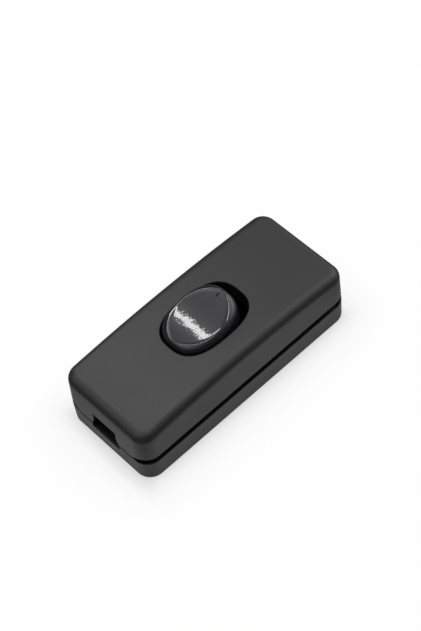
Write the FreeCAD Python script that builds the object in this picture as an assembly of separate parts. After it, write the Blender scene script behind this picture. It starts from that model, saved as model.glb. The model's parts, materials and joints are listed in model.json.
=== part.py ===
import FreeCAD, Part
import math
import os
from FreeCAD import Vector

# Inline cord switch: a two-shell plastic housing with a rocker in its top and a cord slot in each end.
# Millimetres. X runs along the housing, +Z is up, and the origin is the middle of the underside.

# Housing outline
length = 62.0
width = 26.8
corner_radius = 3.8
parting_height = 6.0
end_height = 16.1
crown = 1.55
wall = 1.8
top_wall = 1.8
floor = 1.8
top_rounding = 2.3
bottom_rounding = 0.6
cover_draft = 0.03
base_draft = 0.015

# Joint between the shells: a shadow groove along the sides, and a tab of the cover at each end
groove_height = 1.83
parting_gap = 0.12
tab_side = 5.0
ramp_width = 3.9
lip_clearance = 0.15
lip_thickness = 1.2
lip_height = 3.6
rim_flat = 0.2
trench_depth = 2.4
trench_slope = 65.0
seam_drop = 0.5
seam_reach = 0.7

# Cord slots and cord beds
slot_side = 9.75
slot_step = 0.75
slot_top = 10.2
slot_shoulder = 7.6
bed_height = 4.3
bed_rib_height = 0.5
bed_rib_width = 0.9
bed_rib_pitch = 1.9
bed_rib_count = 3
mouth_tooth_inset = 0.4
mouth_tooth_pitch = 0.55
mouth_tooth_length = 0.45
mouth_tooth_height = 0.45
mouth_tooth_count = 4

# Cord clamps
clamp_inset = 5.6
clamp_width = 4.6
clamp_seat = 7.6
clamp_thickness = 1.6
clamp_rise = 2.3
clamp_ridge = 0.5
clamp_ridge_width = 1.0
clamp_side_gap = 0.55
clamp_end_margin = 2.4
clamp_foot_gap = 0.2
clamp_crest_inset = 0.4
clamp_post_margin = 0.2

# Rocker and its opening
opening_length = 20.8
opening_land = 6.35
opening_exponent = 2.71
opening_point_count = 32
opening_edge = 0.3
collar_depth = 2.4
collar_wall = 1.2
pivot_height = 10.0
rocker_tilt = 9.6
skirt_end_gap = 1.55
skirt_side_gap = 0.3
rim_end_inset = 1.3
rim_side_inset = 0.9
rim_exponent = 2.47
rocker_point_count = 24
rim_height = 19.65
dish_radius = 44.0
dish_depth = 0.17
dish_curl = 1.0
dish_point_count = 16
dish_headroom = 8.0
skirt_depth = 4.7
skirt_straight = 1.6
shoulder_height = 1.3
shoulder_end_inset = 0.16
shoulder_side_inset = 0.1
brow_depth = 0.6
brow_end_inset = 0.4
brow_side_inset = 0.38
skirt_wall = 1.4
rim_rounding = 0.15
trunnion_radius = 1.4
trunnion_length = 2.3
trunnion_shoulder = 0.7
cheek_radius = 2.6
cheek_inset = 0.1
rocker_rib = 1.2
ear_thickness = 1.8
ear_margin = 1.7
ear_gap = 0.1
snap_slot = 1.9
running_clearance = 0.05

# The rocker's skin is lofted past its rim by rim_spare, leaning in by these, and the dish then cuts it.
# The dish rises towards the ends, so at the rim's middle height the ends still stand out by rim_end_spread.
rim_spare = 1.04
rim_end_spread = 0.53
rim_end_lean = 0.45
rim_side_lean = 1.4

# Plunger and spring under the rocker
plunger_radius = 1.6
plunger_body = 3.8
plunger_nose_radius = 1.0
plunger_guide_radius = 0.65
plunger_guide = 2.2
plunger_taper = 0.7
tube_wall = 0.95
tube_top = 7.6
tube_bottom = -0.9
spring_wire = 0.36
spring_coils = 6
spring_gap = 0.12
spring_seat_gap = 0.02

# Contact lever
lever_pivot_height = 5.45
lever_thickness = 0.7
lever_width = 4.0
lever_arm = 6.3
lever_angle = 10.0
lever_pin_radius = 0.45
lug_thickness = 0.8
lug_length = 2.8
lug_height = 2.3
lug_gap = 0.4
tip_clearance = 0.05

# Brass terminals
plate_level = 3.4
plate_thickness = 0.8
terminal_boss_gap = 2.2
terminal_wall_gap = 0.45
pad_length = 6.4
pad_width = 4.8
strip_width = 3.0
contact_x = 5.2
tongue_margin = 0.4
thread_collar_radius = 2.0
thread_collar_depth = 1.2
thread_collar_gap = 0.2
peg_radius = 0.65
peg_height = 0.5
peg_foot_radius = 1.2
wire_plate_size = 4.6
wire_plate_thickness = 0.9
wire_plate_corner = 0.5
wire_plate_relief_width = 2.1
wire_plate_relief_depth = 0.3
support_width = 2.2
support_inset = 0.3
neutral_support = 1.4
stop_width = 0.9
stop_inset = 0.9
barrier_gap = 0.15
barrier_thickness = 0.7
barrier_height = 4.4

# Contacts
contact_radius = 1.2
contact_height = 0.48
moving_contact_height = 0.38
rivet_radius = 0.6
rivet_head = 0.3
rivet_rim = 0.25
rivet_fit = 0.04
face_inset = 0.1

# Screws
terminal_screw_radius = 1.3
terminal_head_radius = 2.3
terminal_head_height = 1.8
terminal_screw_length = 3.0
clamp_screw_radius = 1.2
clamp_head_radius = 2.2
clamp_head_height = 1.6
clamp_screw_length = 6.4
housing_screw_inset = 12.0
housing_screw_radius = 1.2
housing_head_radius = 2.4
housing_head_height = 1.7
housing_screw_length = 10.6
head_recess = 2.4
boss_radius = 3.9
boss_top = 6.4
post_radius = 3.0
gusset_reach = 2.2
gusset_thickness = 1.0
pilot_depth = 8.2
hole_clearance = 0.4
screw_clearance = 0.05
recess_width = 0.7
recess_depth = 0.9
recess_share = 0.62
head_rounding_share = 0.45
tip_share = 0.55

# How far a cutting tool runs past a face, how far a joined shape runs in, and the least corner radius
tool_run = 1.0
join_run = 0.5
least_radius = 0.3

# Worked out from the sizes above
top_height = end_height + crown
crown_radius = ((length / 2) ** 2 + crown ** 2) / (2 * crown)
tab_width = width - 2 * tab_side
slot_width = width - 2 * slot_side
slot_mouth_width = slot_width + 2 * slot_step
opening_width = width - 2 * opening_land
skirt_length = opening_length - 2 * skirt_end_gap
skirt_width = opening_width - 2 * skirt_side_gap
rim_length = skirt_length - 2 * rim_end_inset
rim_width = skirt_width - 2 * rim_side_inset
curl_radius = (dish_curl ** 2 + dish_depth ** 2) / (2 * dish_depth)
cover_foot = parting_height + parting_gap
groove_top = parting_height + groove_height
lip_top = parting_height + lip_height
inner_length = length - 2 * wall
inner_width = width - 2 * wall
lip_length = inner_length - 2 * lip_clearance
lip_width = inner_width - 2 * lip_clearance
pocket_length = lip_length - 2 * lip_thickness
pocket_width = lip_width - 2 * lip_thickness
clamp_x = length / 2 - clamp_inset
clamp_half_span = pocket_width / 2 - clamp_side_gap
clamp_screw_y = clamp_half_span - clamp_end_margin
housing_screw_x = length / 2 - housing_screw_inset
terminal_x = housing_screw_x - boss_radius - terminal_boss_gap
terminal_y = pocket_width / 2 - terminal_wall_gap - pad_width / 2
pad_inner_x = terminal_x - pad_length / 2
pad_outer_x = terminal_x + pad_length / 2
pad_inner_y = terminal_y - pad_width / 2
pad_outer_y = terminal_y + pad_width / 2
strip_inner_y = pad_outer_y - strip_width
plate_top = plate_level + plate_thickness
pivot = Vector(0, 0, pivot_height)
lever_pivot = Vector(0, 0, lever_pivot_height)
lug_inner = lever_width / 2 + lug_gap
lug_outer = lug_inner + lug_thickness
ear_inner = opening_width / 2 + ear_gap
lever_top = lever_pivot_height + lever_thickness / 2
nose_tip = pivot_height - lever_top - tip_clearance
X_AXIS = Vector(1, 0, 0)
Y_AXIS = Vector(0, 1, 0)
Z_AXIS = Vector(0, 0, 1)


def box(x0, x1, y0, y1, z0, z1):
    """Block between two corners."""
    return Part.makeBox(x1 - x0, y1 - y0, z1 - z0, Vector(x0, y0, z0))


def rod(radius, start, length_along, direction=Z_AXIS):
    """Cylinder from a point along a direction."""
    return Part.makeCylinder(radius, length_along, start, direction)


def fused(shapes):
    """One solid from several that meet."""
    result = shapes[0]
    for shape in shapes[1:]:
        result = result.fuse(shape)
    return result.removeSplitter()


def mirrored_x(shape):
    """Copy on the other side of the YZ plane."""
    return shape.mirror(Vector(0, 0, 0), X_AXIS)


def mirrored_y(shape):
    """Copy on the other side of the XZ plane."""
    return shape.mirror(Vector(0, 0, 0), Y_AXIS)


def rounded_rectangle(size_x, size_y, radius, z):
    """Closed outline of a rectangle with round corners, centred on the Z axis."""
    radius = max(radius, least_radius)
    straight_x = size_x / 2 - radius
    straight_y = size_y / 2 - radius
    corners = [(straight_x, straight_y, 0), (-straight_x, straight_y, 90),
               (-straight_x, -straight_y, 180), (straight_x, -straight_y, 270)]
    edges = []
    for index, (cx, cy, start) in enumerate(corners):
        arc = Part.makeCircle(radius, Vector(cx, cy, z), Z_AXIS, start, start + 90)
        edges.append(arc)
        nx, ny, next_start = corners[(index + 1) % 4]
        turn = math.radians(next_start)
        line_end = Vector(nx + radius * math.cos(turn), ny + radius * math.sin(turn), z)
        line_start = arc.valueAt(arc.LastParameter)
        edges.append(Part.makeLine(line_start, line_end))
    return Part.Wire(edges)


def rounded_prism(size_x, size_y, radius, z0, z1):
    """Straight-walled block with round corners."""
    face = Part.Face(rounded_rectangle(size_x, size_y, radius, z0))
    return face.extrude(Vector(0, 0, z1 - z0))


def tapered_block(size_x, size_y, radius, z_full, z_far, draft):
    """Block with round corners that has its full size at z_full and narrows towards z_far."""
    inset = abs(z_far - z_full) * draft
    full = rounded_rectangle(size_x, size_y, radius, z_full)
    far = rounded_rectangle(size_x - 2 * inset, size_y - 2 * inset, radius - inset, z_far)
    wires = [full, far] if z_far > z_full else [far, full]
    return Part.makeLoft(wires, True, True)


def superellipse(half_x, half_y, exponent, z, points):
    """Closed smooth outline |x/a|^n + |y/b|^n = 1 at height z."""
    places = []
    for index in range(points):
        turn = 2 * math.pi * index / points
        c = math.cos(turn)
        s = math.sin(turn)
        x = half_x * math.copysign(abs(c) ** (2 / exponent), c)
        y = half_y * math.copysign(abs(s) ** (2 / exponent), s)
        places.append(Vector(x, y, z))
    curve = Part.BSplineCurve()
    curve.interpolate(places, PeriodicFlag=True)
    return Part.Wire(curve.toShape())


def superellipse_prism(half_x, half_y, exponent, z0, z1):
    """Straight-walled prism on a superellipse."""
    outline = superellipse(half_x, half_y, exponent, z0, opening_point_count)
    return Part.Face(outline).extrude(Vector(0, 0, z1 - z0))


def prism(corners, along):
    """Prism on a flat outline of corners, carried along a vector."""
    return Part.Face(Part.makePolygon(corners + corners[:1])).extrude(along)


def section_prism(points, x0, x1):
    """Prism along X on an outline of (y, z) corners."""
    return prism([Vector(x0, y, z) for y, z in points], Vector(x1 - x0, 0, 0))


def crown_cylinder(offset):
    """Everything under the crowned top, lowered by an offset."""
    radius = crown_radius - offset
    start = Vector(0, -width, top_height - crown_radius)
    return rod(radius, start, 2 * width, Y_AXIS)


def cross_head_screw(radius, head_radius, head_height, shank_length):
    """Pan-head screw with a cross recess, its head's seat at the origin and its shank down."""
    head = rod(head_radius, Vector(0, 0, 0), head_height)
    head = head.makeFillet(head_height * head_rounding_share, [head.Edges[0]])
    tip = Part.makeCone(radius * tip_share, radius, radius, Vector(0, 0, -shank_length))
    shank = rod(radius, Vector(0, 0, radius - shank_length), shank_length - radius)
    body = fused([head, shank, tip])
    floor_z = head_height - recess_depth
    half = recess_width / 2
    reach = head_radius * recess_share
    slot_x = box(-reach, reach, -half, half, floor_z, head_height + tool_run)
    slot_y = box(-half, half, -reach, reach, floor_z, head_height + tool_run)
    return body.cut(slot_x).cut(slot_y)


def cord_passage(x0, x1):
    """Space of the cord slot: narrow above its shoulders, wider at the parting line."""
    half_top = slot_width / 2
    half_mouth = slot_mouth_width / 2
    outline = [(-half_mouth, bed_height), (half_mouth, bed_height), (half_mouth, cover_foot),
               (half_top, slot_shoulder), (half_top, slot_top), (-half_top, slot_top),
               (-half_top, slot_shoulder), (-half_mouth, cover_foot)]
    return section_prism(outline, x0, x1)


def groove_tool():
    """What the shadow groove takes from the cover: level on the sides, curving down to the end tabs."""
    tab_edge = tab_width / 2
    ramp_end = tab_edge + ramp_width
    rise = groove_top - cover_foot
    arc_radius = (ramp_width ** 2 + rise ** 2) / (2 * rise)
    half_turn = math.asin(min(ramp_width / arc_radius, 1.0)) / 2
    middle = Vector(0, ramp_end - arc_radius * math.sin(half_turn),
                    groove_top - arc_radius * (1 - math.cos(half_turn)))
    foot = Vector(0, tab_edge, cover_foot)
    crest = Vector(0, ramp_end, groove_top)
    ramp = Part.Arc(foot, middle, crest).toShape()
    below = parting_height - tool_run
    outer = [crest, Vector(0, width, groove_top), Vector(0, width, below), Vector(0, tab_edge, below), foot]
    lines = [Part.makeLine(a, b) for a, b in zip(outer, outer[1:])]
    side = Part.Face(Part.Wire([ramp] + lines)).extrude(Vector(length + 2 * tool_run, 0, 0))
    side.translate(Vector(-length / 2 - tool_run, 0, 0))
    return side.fuse(mirrored_y(side))


def pivot_ear():
    """Ear that hangs from the cover's ceiling, with a snap-in bearing for the rocker's trunnion."""
    radius = trunnion_radius + running_clearance + ear_margin
    y0 = ear_inner
    y1 = y0 + ear_thickness
    plate = box(-radius, radius, y0, y1, pivot_height, top_height)
    nose = rod(radius, Vector(0, y0, pivot_height), ear_thickness, Y_AXIS)
    bearing = rod(trunnion_radius + running_clearance, Vector(0, y0 - tool_run, pivot_height),
                  ear_thickness + 2 * tool_run, Y_AXIS)
    lead_in = box(-snap_slot / 2, snap_slot / 2, y0 - tool_run, y1 + tool_run,
                  pivot_height - radius - tool_run, pivot_height)
    return plate.fuse(nose).cut(bearing).cut(lead_in)


def cover_post():
    """Post for one housing screw, with its blind pilot hole."""
    place = Vector(housing_screw_x, 0, boss_top)
    post = rod(post_radius, place, top_height - boss_top)
    gusset = box(housing_screw_x - post_radius - gusset_reach, housing_screw_x, -gusset_thickness / 2,
                 gusset_thickness / 2, slot_top, top_height)
    pilot = rod(housing_screw_radius + screw_clearance, place, pilot_depth)
    return post.fuse(gusset).cut(pilot)


def opening_collar():
    """Guard wall round the rocker opening, inside the cover."""
    return superellipse_prism(opening_length / 2 + collar_wall, opening_width / 2 + collar_wall,
                              opening_exponent, top_height - top_wall - collar_depth, top_height)


def cover_shell():
    """Upper shell: crowned top, rounded edge, drafted walls, rocker opening, ears, posts and end tabs."""
    block = tapered_block(length, width, corner_radius, cover_foot, top_height + tool_run, cover_draft)
    body = block.common(crown_cylinder(0))
    edges = [e for e in body.Edges if min(v.Z for v in e.Vertexes) > groove_top]
    body = body.makeFillet(top_rounding, edges)
    cavity_prism = rounded_prism(inner_length, inner_width, corner_radius - wall, cover_foot - tool_run,
                                 top_height)
    cavity = cavity_prism.common(crown_cylinder(top_wall))
    post = cover_post()
    ear = pivot_ear()
    features = [post, mirrored_x(post), ear, mirrored_y(ear), opening_collar()]
    for feature in features:
        cavity = cavity.cut(feature)
    body = body.cut(cavity)
    opening = superellipse_prism(opening_length / 2, opening_width / 2, opening_exponent,
                                 top_height - top_wall - collar_depth - tool_run, top_height + tool_run)
    body = body.cut(opening)
    rim_floor = top_height - top_wall / 2
    rim = [e for e in body.Edges if e.BoundBox.ZMin > rim_floor and e.BoundBox.XMax < opening_length]
    body = body.makeFillet(opening_edge, rim)
    body = body.cut(groove_tool().cut(cavity_prism))
    slot = cord_passage(-length / 2 - tool_run, -inner_length / 2 + join_run)
    body = body.cut(slot).cut(mirrored_x(slot))
    return body.removeSplitter()


def edge_trench():
    """Bevelled trench between the base's rim and its lip; the end tabs' seats stay solid."""
    inset = trench_depth / math.tan(math.radians(trench_slope))
    ring = tapered_block(length - 2 * rim_flat, width - 2 * rim_flat, corner_radius - rim_flat,
                         parting_height, parting_height - trench_depth, inset / trench_depth)
    top = parting_height + tool_run
    lip = rounded_prism(lip_length, lip_width, corner_radius - wall - lip_clearance, 0, top)
    seat = box(-length, length, -tab_width / 2, tab_width / 2, 0, top)
    return ring.cut(lip).cut(seat)


def seam_rebate():
    """Low step along the base's edge under one end tab, which shows as a dark line between the shells."""
    end = -length / 2
    half = tab_width / 2
    return box(end - tool_run, end + seam_reach, -half, half, parting_height - seam_drop,
               parting_height + tool_run)


def base_blank():
    """Lower shell's outside, with the lip that stands inside the cover and the pocket within it."""
    block = tapered_block(length, width, corner_radius, parting_height, 0, base_draft)
    edges = [e for e in block.Edges if max(v.Z for v in e.Vertexes) < bottom_rounding / 2]
    block = block.makeFillet(bottom_rounding, edges)
    lip_radius = corner_radius - wall - lip_clearance
    lip = rounded_prism(lip_length, lip_width, lip_radius, floor, lip_top)
    seam = seam_rebate()
    return block.fuse(lip).cut(base_pocket()).cut(edge_trench()).cut(seam).cut(mirrored_x(seam))


def base_pocket():
    """Space inside the lip, above the floor."""
    radius = corner_radius - wall - lip_clearance - lip_thickness
    return rounded_prism(pocket_length, pocket_width, radius, floor, lip_top + tool_run)


def cord_bed():
    """Raised bed with grip ribs just inside one cord slot, and the clamp's two posts."""
    x_outer = -length / 2 + wall
    x_inner = -housing_screw_x - boss_radius + join_run
    half = slot_mouth_width / 2
    parts = [box(x_outer, x_inner, -half, half, floor, bed_height)]
    for index in range(bed_rib_count):
        x = -clamp_x + (index - (bed_rib_count - 1) / 2) * bed_rib_pitch
        foot = bed_rib_width / 2
        ridge = [Vector(x - foot, -half, bed_height), Vector(x + foot, -half, bed_height),
                 Vector(x, -half, bed_height + bed_rib_height)]
        parts.append(prism(ridge, Vector(0, 2 * half, 0)))
    post_half = clamp_width / 2 + clamp_post_margin
    for side in (-1, 1):
        inner = side * half
        outer = side * (pocket_width / 2 + join_run)
        parts.append(box(-clamp_x - post_half, -clamp_x + post_half, min(inner, outer), max(inner, outer),
                         floor, clamp_seat))
    bed = fused(parts)
    depth = clamp_screw_length - clamp_thickness + 2 * tool_run
    for side in (-1, 1):
        place = Vector(-clamp_x, side * clamp_screw_y, clamp_seat + tool_run)
        bed = bed.cut(rod(clamp_screw_radius + screw_clearance, place, depth, Vector(0, 0, -1)))
    return bed


def mouth_teeth():
    """Row of grip teeth across the floor of one cord slot, just inside its mouth."""
    half = slot_mouth_width / 2
    teeth = []
    for index in range(mouth_tooth_count):
        x = -length / 2 + mouth_tooth_inset + index * mouth_tooth_pitch
        foot = bed_height - join_run
        tooth = [Vector(x, -half, foot), Vector(x, -half, bed_height + mouth_tooth_height),
                 Vector(x + mouth_tooth_length, -half, bed_height), Vector(x + mouth_tooth_length, -half, foot)]
        teeth.append(prism(tooth, Vector(0, 2 * half, 0)))
    return teeth


def terminal_places():
    """Centres of the four wire terminals, as name, x and y."""
    return [("live_out", -terminal_x, -terminal_y), ("live_in", terminal_x, -terminal_y),
            ("neutral_left", -terminal_x, terminal_y), ("neutral_right", terminal_x, terminal_y)]


def pegs():
    """Moulded pegs that locate the brass plates on their strips, as x and y."""
    x = pad_inner_x - peg_foot_radius
    y = pad_outer_y - strip_width / 2
    return [(sx * x, sy * y) for sx in (-1, 1) for sy in (-1, 1)]


def plate_supports():
    """Moulded blocks that carry the brass plates above the floor, with room for the threaded collars."""
    parts = []
    half_x = pad_length / 2 - support_inset
    half_y = pad_width / 2 - support_inset
    for name, x, y in terminal_places():
        parts.append(box(x - half_x, x + half_x, y - half_y, y + half_y, floor, plate_level))
    half = support_width / 2
    strip_y = -terminal_y - support_inset
    parts.append(box(-half, half, strip_y, lug_outer - support_inset, floor, plate_level))
    parts.append(box(-contact_x - half, -contact_x + half, strip_y, -contact_radius - support_inset, floor,
                     plate_level))
    parts.append(box(-half, half, terminal_y, terminal_y + neutral_support, floor, plate_level))
    stop_top = lever_pivot_height - lever_thickness / 2 - tip_clearance
    stop_end = lever_arm - stop_inset
    parts.append(box(stop_end - stop_width, stop_end, -lever_width / 2, lever_width / 2, floor, stop_top))
    barrier_x = pad_inner_x - support_inset
    barrier_y = lug_outer + barrier_gap
    parts.append(box(-barrier_x, barrier_x, barrier_y, barrier_y + barrier_thickness, floor,
                     floor + barrier_height))
    for x, y in pegs():
        parts.append(rod(peg_foot_radius, Vector(x, y, floor), plate_level - floor))
        parts.append(rod(peg_radius, Vector(x, y, floor), plate_top + peg_height - floor))
    return parts


def base_shell():
    """Lower shell: tray with cord beds, clamp posts, screw bosses, plate supports and a barrier."""
    body = base_blank()
    bed = cord_bed()
    boss = rod(boss_radius, Vector(housing_screw_x, 0, floor), boss_top - floor)
    features = [bed, mirrored_x(bed), boss, mirrored_x(boss)] + plate_supports()
    inside = rounded_prism(lip_length - lip_thickness, lip_width - lip_thickness, corner_radius - wall, 0,
                           lip_top)
    for feature in features:
        body = body.fuse(feature.common(inside))
    for name, x, y in terminal_places():
        body = body.cut(rod(thread_collar_radius + thread_collar_gap, Vector(x, y, floor),
                            plate_level - floor + tool_run))
    for side in (-1, 1):
        below = Vector(side * housing_screw_x, 0, -tool_run)
        body = body.cut(rod(housing_head_radius + hole_clearance, below, head_recess + tool_run))
        body = body.cut(rod(housing_screw_radius + hole_clearance, below, boss_top + 2 * tool_run))
    half = slot_mouth_width / 2
    slot = box(-length / 2 - tool_run, -pocket_length / 2 + join_run, -half, half, bed_height,
               lip_top + tool_run)
    body = body.cut(slot).cut(mirrored_x(slot))
    for tooth in mouth_teeth():
        body = body.fuse(tooth).fuse(mirrored_x(tooth))
    return body.removeSplitter()


def rocker_outer():
    """Outside of the rocker, level, about its pivot: swelling skirt, round shoulder and dished top."""
    rim_z = rim_height - pivot_height
    foot_z = rim_z - skirt_depth
    half_x = skirt_length / 2
    half_y = skirt_width / 2
    levels = [(half_x, half_y, foot_z), (half_x, half_y, foot_z + skirt_straight),
              (half_x - shoulder_end_inset, half_y - shoulder_side_inset, rim_z - shoulder_height),
              (half_x - brow_end_inset, half_y - brow_side_inset, rim_z - brow_depth),
              (rim_length / 2 + rim_end_spread, rim_width / 2, rim_z),
              (rim_length / 2 - rim_end_lean, rim_width / 2 - rim_side_lean, rim_z + rim_spare)]
    wires = [superellipse(a, b, rim_exponent, z, rocker_point_count) for a, b, z in levels]
    body = Part.makeLoft(wires, True, False).cut(dish_tool(rim_z))
    rim = [e for e in body.Edges if e.BoundBox.ZMin > rim_z - shoulder_height / 2]
    return body.makeFillet(rim_rounding, rim)


def dish_tool(rim_z):
    """What the dish takes away: a lying cylinder's underside that curls up softly to the rim all round."""
    low = rim_z - dish_depth
    spread = curl_radius - dish_curl
    cylinder = rod(dish_radius, Vector(0, -width, low + dish_radius), 2 * width, Y_AXIS)
    outline = superellipse(rim_length / 2 + spread, rim_width / 2 + spread, rim_exponent, 0,
                           dish_point_count)
    tool = Part.Face(outline).extrude(Vector(0, 0, rim_z + dish_headroom)).common(cylinder)
    foot = [e for e in tool.Edges if e.BoundBox.ZMax < rim_z + dish_headroom / 2]
    return tool.makeFillet(curl_radius, foot).Solids[0]


def rocker_button():
    """Rocker: dished top, hollow skirt, cheeks with trunnions, and the spring tube."""
    rim_z = rim_height - pivot_height
    foot_z = rim_z - skirt_depth
    body = rocker_outer()
    hollow_top = rim_z - dish_depth - skirt_wall
    cheek_inner = skirt_width / 2 - skirt_wall
    hollow = superellipse_prism(skirt_length / 2 - skirt_wall, cheek_inner, rim_exponent, foot_z - tool_run,
                                hollow_top)
    body = body.cut(hollow)
    cheek_outer = skirt_width / 2 - cheek_inset
    thickness = cheek_outer - cheek_inner
    web = box(-cheek_radius, cheek_radius, cheek_inner, cheek_outer, 0, foot_z + skirt_straight)
    disc = rod(cheek_radius, Vector(0, cheek_inner, 0), thickness, Y_AXIS)
    shoulder_end = ear_inner - 2 * running_clearance
    shoulder = rod(trunnion_radius + trunnion_shoulder, Vector(0, cheek_inner, 0),
                   shoulder_end - cheek_inner, Y_AXIS)
    pin_end = ear_inner + trunnion_length
    pin = rod(trunnion_radius, Vector(0, cheek_inner, 0), pin_end - cheek_inner, Y_AXIS)
    cheek = fused([web, disc, shoulder, pin])
    bore_radius = plunger_radius + running_clearance
    tube_radius = bore_radius + tube_wall
    tube = rod(tube_radius, Vector(0, 0, tube_bottom), hollow_top - tube_bottom)
    rib = box(-rocker_rib / 2, rocker_rib / 2, -cheek_inner, cheek_inner, rocker_rib, hollow_top)
    body = fused([body, cheek, mirrored_y(cheek), tube, rib])
    bore = rod(bore_radius, Vector(0, 0, tube_bottom - tool_run), tube_top - tube_bottom + tool_run)
    return body.cut(bore)


def spring_plunger():
    """Plunger with a round nose that presses on the contact lever, and a guide pin inside its spring."""
    nose_centre = plunger_nose_radius - nose_tip
    nose = Part.makeSphere(plunger_nose_radius, Vector(0, 0, nose_centre))
    body_foot = nose_centre + plunger_taper
    taper = Part.makeCone(plunger_nose_radius, plunger_radius, plunger_taper, Vector(0, 0, nose_centre))
    body = rod(plunger_radius, Vector(0, 0, body_foot), plunger_body)
    guide = rod(plunger_guide_radius, Vector(0, 0, body_foot + plunger_body), plunger_guide)
    return fused([nose, taper, body, guide])


def contact_spring():
    """Compression spring between the plunger and the blind end of the rocker's tube."""
    seat = plunger_nose_radius - nose_tip + plunger_taper + plunger_body
    low = seat + spring_wire / 2 + spring_seat_gap
    high = tube_top - spring_wire / 2 - spring_seat_gap
    mean_radius = plunger_radius - spring_wire / 2 - spring_gap
    helix = Part.makeHelix((high - low) / spring_coils, high - low, mean_radius)
    helix.translate(Vector(0, 0, low))
    section = Part.Wire(Part.makeCircle(spring_wire / 2, Vector(mean_radius, 0, low), Y_AXIS))
    return Part.Wire(helix).makePipeShell([section], True, True)


def contact_lever():
    """Shallow V of brass that rocks on its side pins; both arms rise from the middle when it is level."""
    half = lever_thickness / 2
    turn = math.radians(lever_angle)
    reach = lever_arm * math.cos(turn)
    rise = lever_arm * math.sin(turn)
    outline = [(0, -half), (reach, rise - half), (reach, rise + half), (0, half), (-reach, rise + half),
               (-reach, rise - half)]
    corners = [Vector(x, -lever_width / 2, lever_pivot_height + z) for x, z in outline]
    strip = prism(corners, Vector(0, lever_width, 0))
    pin_start = lever_width / 2 - lever_pin_radius
    pin = rod(lever_pin_radius, Vector(0, pin_start, lever_pivot_height), lug_outer - pin_start, Y_AXIS)
    hole_start = arm_middle() - arm_normal() * lever_thickness
    hole = rod(rivet_radius, hole_start, 2 * lever_thickness, arm_normal())
    return fused([strip, pin, mirrored_y(pin)]).cut(hole)


def arm_normal():
    """Direction square to the lever's left arm, level."""
    turn = math.radians(lever_angle)
    return Vector(math.sin(turn), 0, math.cos(turn))


def arm_middle():
    """Place of the moving contact on the middle plane of the lever's left arm, level."""
    return Vector(-contact_x, 0, lever_pivot_height + contact_x * math.tan(math.radians(lever_angle)))


def moving_contact():
    """Silver rivet through the lever's arm: contact face below, small head above."""
    along = arm_normal()
    middle = arm_middle()
    half = lever_thickness / 2
    face = rod(contact_radius - face_inset, middle - along * (half + moving_contact_height),
               moving_contact_height, along)
    shank = rod(rivet_radius - rivet_fit, middle - along * half, lever_thickness, along)
    head = rod(rivet_radius + rivet_rim, middle + along * half, rivet_head, along)
    return fused([face, shank, head])


def fixed_contact():
    """Silver rivet through the live-out plate: contact face above, small head below."""
    face = rod(contact_radius, Vector(-contact_x, 0, plate_top), contact_height)
    shank = rod(rivet_radius - rivet_fit, Vector(-contact_x, 0, plate_level), plate_thickness)
    head = rod(rivet_radius + rivet_rim, Vector(-contact_x, 0, plate_level - rivet_head), rivet_head)
    return fused([face, shank, head])


def flat_plate(rectangles):
    """Stamped plate at the terminals' level, from rectangles (x0, x1, y0, y1) that meet."""
    return fused([box(x0, x1, y0, y1, plate_level, plate_top) for x0, x1, y0, y1 in rectangles])


def threaded_pad(plate, x, y):
    """Adds the drawn collar under a terminal pad and opens its screw hole."""
    collar = rod(thread_collar_radius, Vector(x, y, plate_level - thread_collar_depth), thread_collar_depth)
    hole = rod(terminal_screw_radius + screw_clearance, Vector(x, y, 0), plate_top + tool_run)
    return plate.fuse(collar).cut(hole)


def peg_holes(plate):
    """Opens the holes for the locating pegs."""
    for x, y in pegs():
        plate = plate.cut(rod(peg_radius + screw_clearance, Vector(x, y, 0), plate_top + tool_run))
    return plate


def cradle_lug(side):
    """Upright lug with a round-bottomed notch that carries one of the lever's pins."""
    half = lug_length / 2
    top = plate_top + lug_height
    notch_radius = lever_pin_radius + running_clearance
    y0 = min(side * lug_inner, side * lug_outer)
    y1 = y0 + lug_thickness
    lug = box(-half, half, y0, y1, plate_level, top)
    start = y0 - tool_run
    end = y1 + tool_run
    seat = rod(notch_radius, Vector(0, start, lever_pivot_height), end - start, Y_AXIS)
    mouth = box(-notch_radius, notch_radius, start, end, lever_pivot_height, top + tool_run)
    return lug.cut(seat).cut(mouth)


def live_in_terminal():
    """Brass plate from the live-in screw to the middle, with two lugs that cradle the lever's pins."""
    half = lug_length / 2
    plate = flat_plate([(pad_inner_x, pad_outer_x, -pad_outer_y, -pad_inner_y),
                        (-half, pad_outer_x, -pad_outer_y, -strip_inner_y),
                        (-half, half, -pad_outer_y, lug_outer)])
    plate = fused([plate, cradle_lug(-1), cradle_lug(1)])
    return peg_holes(threaded_pad(plate, terminal_x, -terminal_y))


def live_out_terminal():
    """Brass plate from the live-out screw to the fixed contact."""
    tongue = contact_radius + tongue_margin
    plate = flat_plate([(-pad_outer_x, -pad_inner_x, -pad_outer_y, -pad_inner_y),
                        (-pad_outer_x, tongue - contact_x, -pad_outer_y, -strip_inner_y),
                        (-contact_x - tongue, tongue - contact_x, -pad_outer_y, tongue)])
    hole = rod(rivet_radius, Vector(-contact_x, 0, 0), plate_top + tool_run)
    return peg_holes(threaded_pad(plate, -terminal_x, -terminal_y)).cut(hole)


def neutral_link():
    """Brass bar that carries the neutral straight through, with a screw pad at each end."""
    plate = flat_plate([(-pad_outer_x, -pad_inner_x, pad_inner_y, pad_outer_y),
                        (-pad_outer_x, pad_outer_x, strip_inner_y, pad_outer_y),
                        (pad_inner_x, pad_outer_x, pad_inner_y, pad_outer_y)])
    for x in (-terminal_x, terminal_x):
        plate = threaded_pad(plate, x, terminal_y)
    return peg_holes(plate)


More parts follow.
